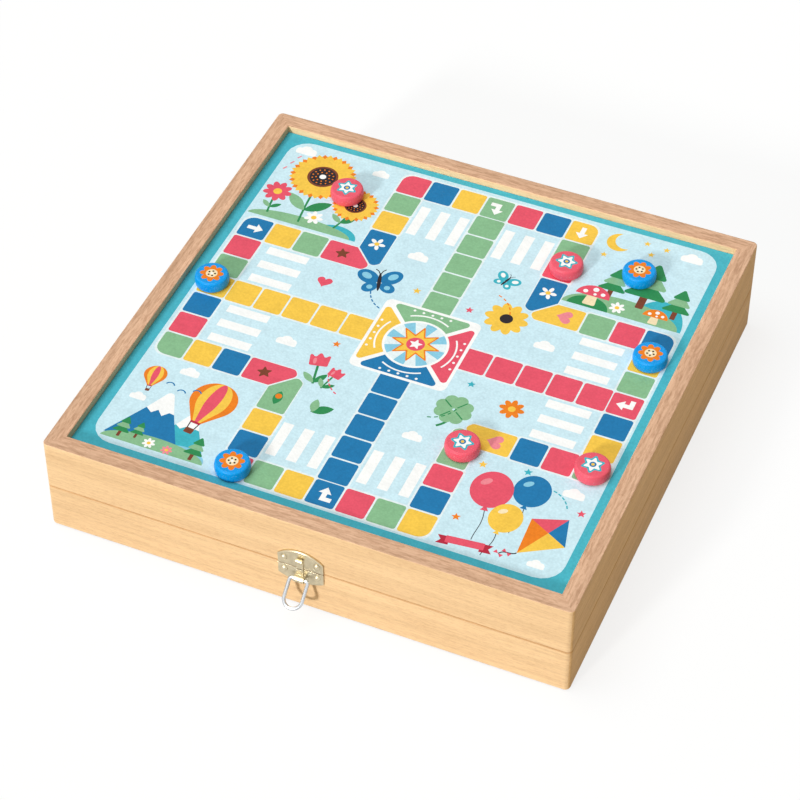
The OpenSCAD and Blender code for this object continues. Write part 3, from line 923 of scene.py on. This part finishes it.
def small_wood():
    """Back right."""
    shapes = [
        ("teal", placed(mound(15, 21), 18, -33)),
        ("green", placed(mound(34, 14), -3, -33)),
        ("deep_green", placed(mound(12, 9), -22, -33)),
    ]
    put_all(
        shapes, (fir(25), -14, -20), (fir(25), 25, -23), (fir(38), 5, -21),
        (mushroom(19, "red"), -22, -31), (mushroom(14, "orange"), 16, -32),
        (daisy(4.5, "white", "yellow", 7), -6, -27),
    )
    shapes += [("yellow", circle(7.5, -23, 25)), ("field", circle(6.6, -19.4, 27.2))]
    put(shapes, cloud(15), 20, 27)
    for x, y in ((-8, 30), (-3, 22), (4, 29), (-28, 12)):
        shapes.append(("yellow", star(5, 2.3, 1.0, 0.1, x, y, 10)))
    return shapes


def mountains():
    """Front left."""
    shapes = []
    put_all(shapes, (peak(36, 31, "teal"), 11, -28), (peak(43, 40, "blue"), -8, -28))
    shapes += [("sky", placed(mound(13, 8), 17, -30)), ("green", placed(mound(30, 9), 0, -31))]
    put_all(
        shapes, (fir(15), -21, -28), (fir(12), -12, -26), (fir(17), 22, -29),
        (daisy(3.6, "white", "yellow", 7), -3, -27), (daisy(3.2, "rose", "yellow", 7), 8, -28),
        (striped_balloon(41), 15, 15, -6), (striped_balloon(20), -23, 21, 5),
        (cloud(13), -6, 29), (cloud(11), -24, 2),
    )
    for k in range(3):
        shapes.append(("blue", line(arc(2.6, 20, 160, -12 + 8 * k, 16 - 3 * (k % 2), 8), 0.8)))
    return shapes


def party_sky():
    """Front right."""
    shapes = []
    put_all(
        shapes, (balloon(10, "blue", "sky"), 1, 20), (balloon(11.5, "red", "rose"), -19, 13, 6),
        (balloon(9, "yellow", "cream"), -5, -3, -4), (kite(36), 19, -4, -28),
        (ribbon(24), -18, -27, 6), (cloud(14), 22, 26), (cloud(11), 21, -27),
    )
    for x, y, paint in ((-30, 28, "yellow"), (30, 15, "red"), (-6, 32, "teal"), (-29, -12, "orange")):
        shapes.append((paint, star(5, 2.7, 1.2, 0.1, x, y, 15)))
    put(shapes, dashes(15, 20, 80, 5, "teal"), 8, 10)
    return shapes


CORNER_PLACE = 98.0  # middle of a corner picture, along both axes
FIELD_PLACE = 38.5  # middle of the picture in a field between two lanes


def between_the_lanes():
    """A larger motif with its trail in each field between two lanes, and small ones around it."""
    shapes = []
    leaves = [("deep_green", leaf(13, 6, 30, -32, -70)), ("green", leaf(10, 5, 95, -31, -70))]
    put_all(
        shapes, (butterfly(25, "blue", "sky"), -FIELD_PLACE, FIELD_PLACE, 16),
        (daisy(12.5, "yellow", "dark", 10), FIELD_PLACE, FIELD_PLACE),
        (clover(25), FIELD_PLACE, -FIELD_PLACE, 8),
        (tulip(20, "red", "rose"), -FIELD_PLACE - 4, -FIELD_PLACE + 2, 12),
        (tulip(15, "red", "rose"), -FIELD_PLACE + 7, -FIELD_PLACE - 3, -14),
        (dashes(17, 195, 250, 5, "blue"), 15 - FIELD_PLACE, FIELD_PLACE - 4),
        (dashes(17, 10, 75, 5, "orange"), FIELD_PLACE - 16, FIELD_PLACE),
        (dashes(17, 280, 345, 5, "deep_green"), FIELD_PLACE - 15, 6 - FIELD_PLACE),
        (dashes(18, 190, 245, 5, "red"), 22 - FIELD_PLACE, 2 - FIELD_PLACE),
        (cloud(14), -26, 66), (heart(9, "red"), -67, 26), (butterfly(15, "teal", "white"), 27, 67, -20),
        (cloud(14), 66, 26), (daisy(7, "orange", "yellow", 8), 67, -26), (cloud(13), 26, -66),
        (leaves,), (cloud(14), -66, -26),
    )
    for x, y, paint in ((-16, 40, "yellow"), (17, 37, "red"), (40, -17, "teal"), (-40, -17, "orange")):
        shapes.append((paint, star(5, 2.6, 1.2, 0.1, x, y, 12)))
    return shapes


def board_drawing():
    """The whole print on its film."""
    printed = [("field", bar(FIELD_W, FIELD_D, FIELD_R, *FIELD_OFF))]
    put_all(
        printed, (track(),), (flower_bed(), -CORNER_PLACE, CORNER_PLACE),
        (small_wood(), CORNER_PLACE, CORNER_PLACE), (mountains(), -CORNER_PLACE, -CORNER_PLACE),
        (party_sky(), CORNER_PLACE, -CORNER_PLACE), (between_the_lanes(),), (home(),),
    )
    drawing = [("film", bar(BOARD_MM, BOARD_MM))]
    put(drawing, printed, *PRINT_OFF)
    return drawing


def ink_indices(drawing):
    """A material index for each ink of a drawing."""
    return {name: i for i, name in enumerate(dict.fromkeys(paint for paint, _ in drawing))}


def make_board():
    """The printed sheet: its drawing on top, plain sides and a plain underside."""
    drawing = board_drawing()
    index_of = ink_indices(drawing)
    build = bmesh.new()
    print_faces(build, drawing, board_hi.z, index_of)
    border = [edge for edge in build.edges if len(edge.link_faces) == 1]
    made = bmesh.ops.extrude_edge_only(build, edges=border)["geom"]
    for vert in made:
        if isinstance(vert, bmesh.types.BMVert):
            vert.co.z = board_lo.z
    low_edges = [e for e in made if isinstance(e, bmesh.types.BMEdge) and len(e.link_faces) == 1]
    bmesh.ops.edgeloop_fill(build, edges=low_edges)
    sheet = made_object("board_print", mesh_of("board_print", build), [inks[name] for name in index_of])
    settle(sheet, "lid", "printed_board", "game_board")


make_board()

# --- discs ---

# Sizes of the discs are in millimetres.
DISC_EDGE_R = 1.3
DISC_BULGE = 0.3
DISC_TURNS = (14, -25, 62, 40)  # how each disc of a colour happens to lie, in degrees
TURN_STEPS = 96  # sides of a turned piece
DISC_REST = 0.02  # gap under a disc, so that it never cuts what it lies on


def disc_profile(r, h):
    """Half a disc's section, from the axis under it to the edge of its flat top, in millimetres."""
    side = r - DISC_BULGE
    edge = side - DISC_EDGE_R
    quarter = [pi / 2 * k / 8 for k in range(9)]
    low = [(edge + DISC_EDGE_R * sin(a), DISC_EDGE_R * (1 - cos(a))) for a in quarter]
    height = h - 2 * DISC_EDGE_R
    bulge = [
        (side + DISC_BULGE * sin(pi * k / 10), DISC_EDGE_R + height * k / 10)
        for k in range(1, 10)
    ]
    return [(0, 0)] + low + bulge + [(x, h - z) for x, z in reversed(low)]


def add_lathe(build, profile):
    """A turned skin about Z from a profile that starts on the axis."""
    rings = []
    for r, z in profile:
        points = circle(r, steps=TURN_STEPS) if r else [(0, 0)]
        rings.append([build.verts.new((x * MM, y * MM, z * MM)) for x, y in points])
    for low, high in zip(rings, rings[1:]):
        for k in range(TURN_STEPS):
            n = (k + 1) % TURN_STEPS
            corners = [low[k % len(low)], low[n % len(low)], high[n], high[k]]
            build.faces.new(list(dict.fromkeys(corners)))


def disc_drawing(colour, r):
    """The motif on a disc's flat top, whose radius is r: a flower or a star."""
    shapes = [("lacquer", circle(r, steps=TURN_STEPS))]
    if colour in ("blue", "green"):
        for k in range(8):
            shapes.append(("orange", ellipse(2.5, 1.75, *at_angle(4.3, 45 * k), 45 * k, 24)))
        shapes.append(("cream", circle(3.3)))
        shapes += [("dark", circle(0.6, *at_angle(1.9, 72 * k), 16)) for k in range(5)]
        return shapes + [("white", circle(0.8, steps=16))]
    return shapes + [
        ("teal", star(6, 7.2, 4.2, 0.8)),
        ("white", star(6, 5.7, 2.9, 0.5)),
        ("blue", circle(1.9, steps=24)),
        ("yellow", circle(0.95, steps=20)),
    ]


def make_disc(name, colour, skin, turn):
    """A turned disc with its motif, a hair above what it lies on."""
    lo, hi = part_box(name)
    profile = disc_profile((hi.x - lo.x) / 2 / MM, (hi.z - lo.z) / MM - DISC_REST)
    top_r, top_z = profile[-1]
    drawing = disc_drawing(colour, top_r)
    index_of = ink_indices(drawing)
    build = bmesh.new()
    add_lathe(build, profile)
    print_faces(build, drawing, top_z * MM, index_of)
    bmesh.ops.remove_doubles(build, verts=build.verts, dist=0.001 * MM)
    used = [skin if paint == "lacquer" else inks[paint] for paint in index_of]
    piece = made_object(name + "_turned", mesh_of(name, build), used, 30)
    piece.location = ((lo.x + hi.x) / 2, (lo.y + hi.y) / 2, lo.z + DISC_REST * MM)
    piece.rotation_euler.z = radians(turn)
    settle(piece, name, colour + "_lacquer", name)


for colour, paint in LACQUERS.items():
    skin = lacquer("lacquer_" + colour, paint)
    for index, turn in enumerate(DISC_TURNS, start=1):
        make_disc(f"disc_{colour}_{index}", colour, skin, turn)

# --- metal fittings and dice ---


FLAT_TURN = radians(1.0)  # faces that turn less than this are one flat face
SHARP_TURN = radians(40)  # edges that turn more than this are eased


def eased_copy(name, width, materials):
    """A copy of a construction node with its sharp edges eased by this width, in metres."""
    build = bmesh.new()
    build.from_mesh(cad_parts[name].data)
    bmesh.ops.remove_doubles(build, verts=build.verts, dist=0.001 * MM)
    bmesh.ops.dissolve_limit(build, angle_limit=FLAT_TURN, verts=build.verts, edges=build.edges)
    sharp = [e for e in build.edges if len(e.link_faces) == 2 and e.calc_face_angle(0) > SHARP_TURN]
    bmesh.ops.bevel(
        build, geom=sharp, offset=width, segments=2, profile=0.5, affect="EDGES", clamp_overlap=True,
    )
    return made_object(name + "_eased", mesh_of(name, build), materials, 50.0)


FITTING_EASE = 0.12 * MM
FITTINGS = {
    "base": (
        "clasp_base_plate", "clasp_base_screws", "hinge_left_base_leaf", "hinge_right_base_leaf",
        "hinge_left_pin", "hinge_right_pin", "hinge_base_screws",
    ),
    "lid": (
        "clasp_lid_plate", "clasp_lid_screws", "hinge_left_lid_leaf", "hinge_right_lid_leaf",
        "hinge_lid_screws",
    ),
    "bail": ("clasp_bail",),
}
for body, names in FITTINGS.items():
    metal = nickel_pale_reflection if body == "bail" else nickel_plate
    for name in names:
        settle(eased_copy(name, FITTING_EASE, [metal]), body, "nickel_plate", name)

DIE_TURNS = {"die_1": 20, "die_2": -35}  # how each die lies, in degrees
DIE_EASE = 0.15 * MM
DIE_BALL = 0.74  # radius of the ball that rounds a die, as a share of its edge
PIP_DEPTH = 0.08 * MM  # what lies deeper than this under a die's face is in a pip
PIP_INSET = 0.1 * MM  # and this deep under its rounding
die_white = plastic("die_white", rgb(246, 243, 234))
die_pips = plastic("die_pips", rgb(36, 34, 38), 0.45)

for name, turn in DIE_TURNS.items():
    lo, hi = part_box(name)
    centre, edge = (lo + hi) / 2, hi.z - lo.z
    piece = eased_copy(name, DIE_EASE, [die_white, die_pips])
    unturn = Matrix.Rotation(radians(-turn), 4, "Z")
    for face in piece.data.polygons:
        at = unturn @ (face.center - centre)
        inside = max(abs(c) for c in at) < edge / 2 - PIP_DEPTH
        face.material_index = int(inside and at.length < DIE_BALL * edge - PIP_INSET)
    settle(piece, name, "die_white", name)

# --- camera, floor and light ---

LENS_MM = 121.55
SENSOR_MM = 36
CAMERA_AZIMUTH = radians(23.08)
CAMERA_ELEVATION = radians(45.18)
CAMERA_FAR = 5.088 * BOX_W  # from the frame's origin, and then to its own right and up
CAMERA_RIGHT = -0.0245 * BOX_W
CAMERA_UP = 0.0348 * BOX_W

WORLD_LEVEL = 0.38
WORLD_TINT = (1.0, 0.92, 0.77, 1)
KEY = {"towards": (-0.27, -0.92, 0.36), "level": 0.64, "spread": 7, "colour": (1.0, 0.99, 0.96)}
OVERHEAD = {"towards": (-0.28, -0.10, 0.95), "level": 0.50, "spread": 40, "colour": (0.88, 0.945, 1.0)}
FLOOR_BOUNCE = (0.45, 0.38, 0.26, 1)  # its colour for light that bounces
FLOOR_SEEN = (0.98, 0.99, 1.0, 1)  # and where it is seen
SHADOW_SHARE = 0.20  # how much of a shadow shows on it
FLOOR_REACH = 6.0
FLOOR_Z = -0.5 * MM  # a hair under the box


def make_camera():
    """The camera, which looks along -back."""
    back = Vector((
        sin(CAMERA_AZIMUTH) * cos(CAMERA_ELEVATION),
        -cos(CAMERA_AZIMUTH) * cos(CAMERA_ELEVATION),
        sin(CAMERA_ELEVATION),
    ))
    right = Vector((0, 0, 1)).cross(back).normalized()
    up = back.cross(right)
    data = bpy.data.cameras.new("camera")
    data.lens = LENS_MM
    data.sensor_width = SENSOR_MM
    camera = linked("camera", data)
    place = back * CAMERA_FAR + right * CAMERA_RIGHT + up * CAMERA_UP
    camera.matrix_world = Matrix.Translation(place) @ Matrix((right, up, back)).transposed().to_4x4()
    bpy.context.scene.camera = camera


def make_sun(name, towards, level, spread, colour):
    """A soft distant lamp; level 1 alone renders a white surface that faces it as white."""
    data = bpy.data.lights.new(name, "SUN")
    data.energy = pi * level
    data.angle = radians(spread)
    data.color = colour
    linked(name, data).rotation_euler = Vector(towards).to_track_quat("Z", "Y").to_euler()


def seen_directly(tree):
    """1 for rays from the camera, mirrors and glass, 0 for the light that falls on things."""
    path = node(tree, "LightPath")
    seen = path.outputs["Is Camera Ray"]
    for kind in ("Is Glossy Ray", "Is Transmission Ray"):
        inputs = {0: seen, 1: path.outputs[kind]}
        seen = node(tree, "Math", inputs, operation="MAXIMUM").outputs[0]
    return seen


def make_world():
    """Soft even light, seen as a white background."""
    world = bpy.data.worlds.new("studio")
    world.use_nodes = True
    tree = world.node_tree
    tree.nodes.clear()
    soft = node(tree, "Background", {"Color": WORLD_TINT, "Strength": WORLD_LEVEL})
    plain = node(tree, "Background", {"Color": (1, 1, 1, 1), "Strength": 1.0})
    layers = {0: seen_directly(tree), 1: soft.outputs[0], 2: plain.outputs[0]}
    both = node(tree, "MixShader", layers)
    node(tree, "OutputWorld", {"Surface": both.outputs[0]})
    bpy.context.scene.world = world


def make_floor():
    """A pale floor that shows as the white background, with part of the shadows on it."""
    build = bmesh.new()
    corners = bar(2 * FLOOR_REACH, 2 * FLOOR_REACH)
    build.faces.new([build.verts.new((x, y, FLOOR_Z)) for x, y in corners])
    material, tree, bsdf = new_material("studio_floor")
    seen = seen_directly(tree)
    tree.links.new(mixed(tree, seen, FLOOR_BOUNCE, FLOOR_SEEN), bsdf.inputs["Base Color"])
    bsdf.inputs["Roughness"].default_value = 0.9
    bsdf.inputs["Specular IOR Level"].default_value = 0.0
    plain = node(tree, "Emission", {"Color": (1, 1, 1, 1), "Strength": 1.0})
    share = node(tree, "Math", {0: seen, 1: 1.0 - SHADOW_SHARE}, operation="MULTIPLY")
    layers = {0: share.outputs[0], 1: bsdf.outputs[0], 2: plain.outputs[0]}
    both = node(tree, "MixShader", layers)
    tree.links.new(both.outputs[0], tree.nodes["Material Output"].inputs["Surface"])
    made_object("floor", mesh_of("floor", build), [material])


make_camera()
make_world()
make_sun("key", **KEY)
make_sun("overhead", **OVERHEAD)
make_floor()
bpy.context.scene.view_settings.view_transform = "Standard"
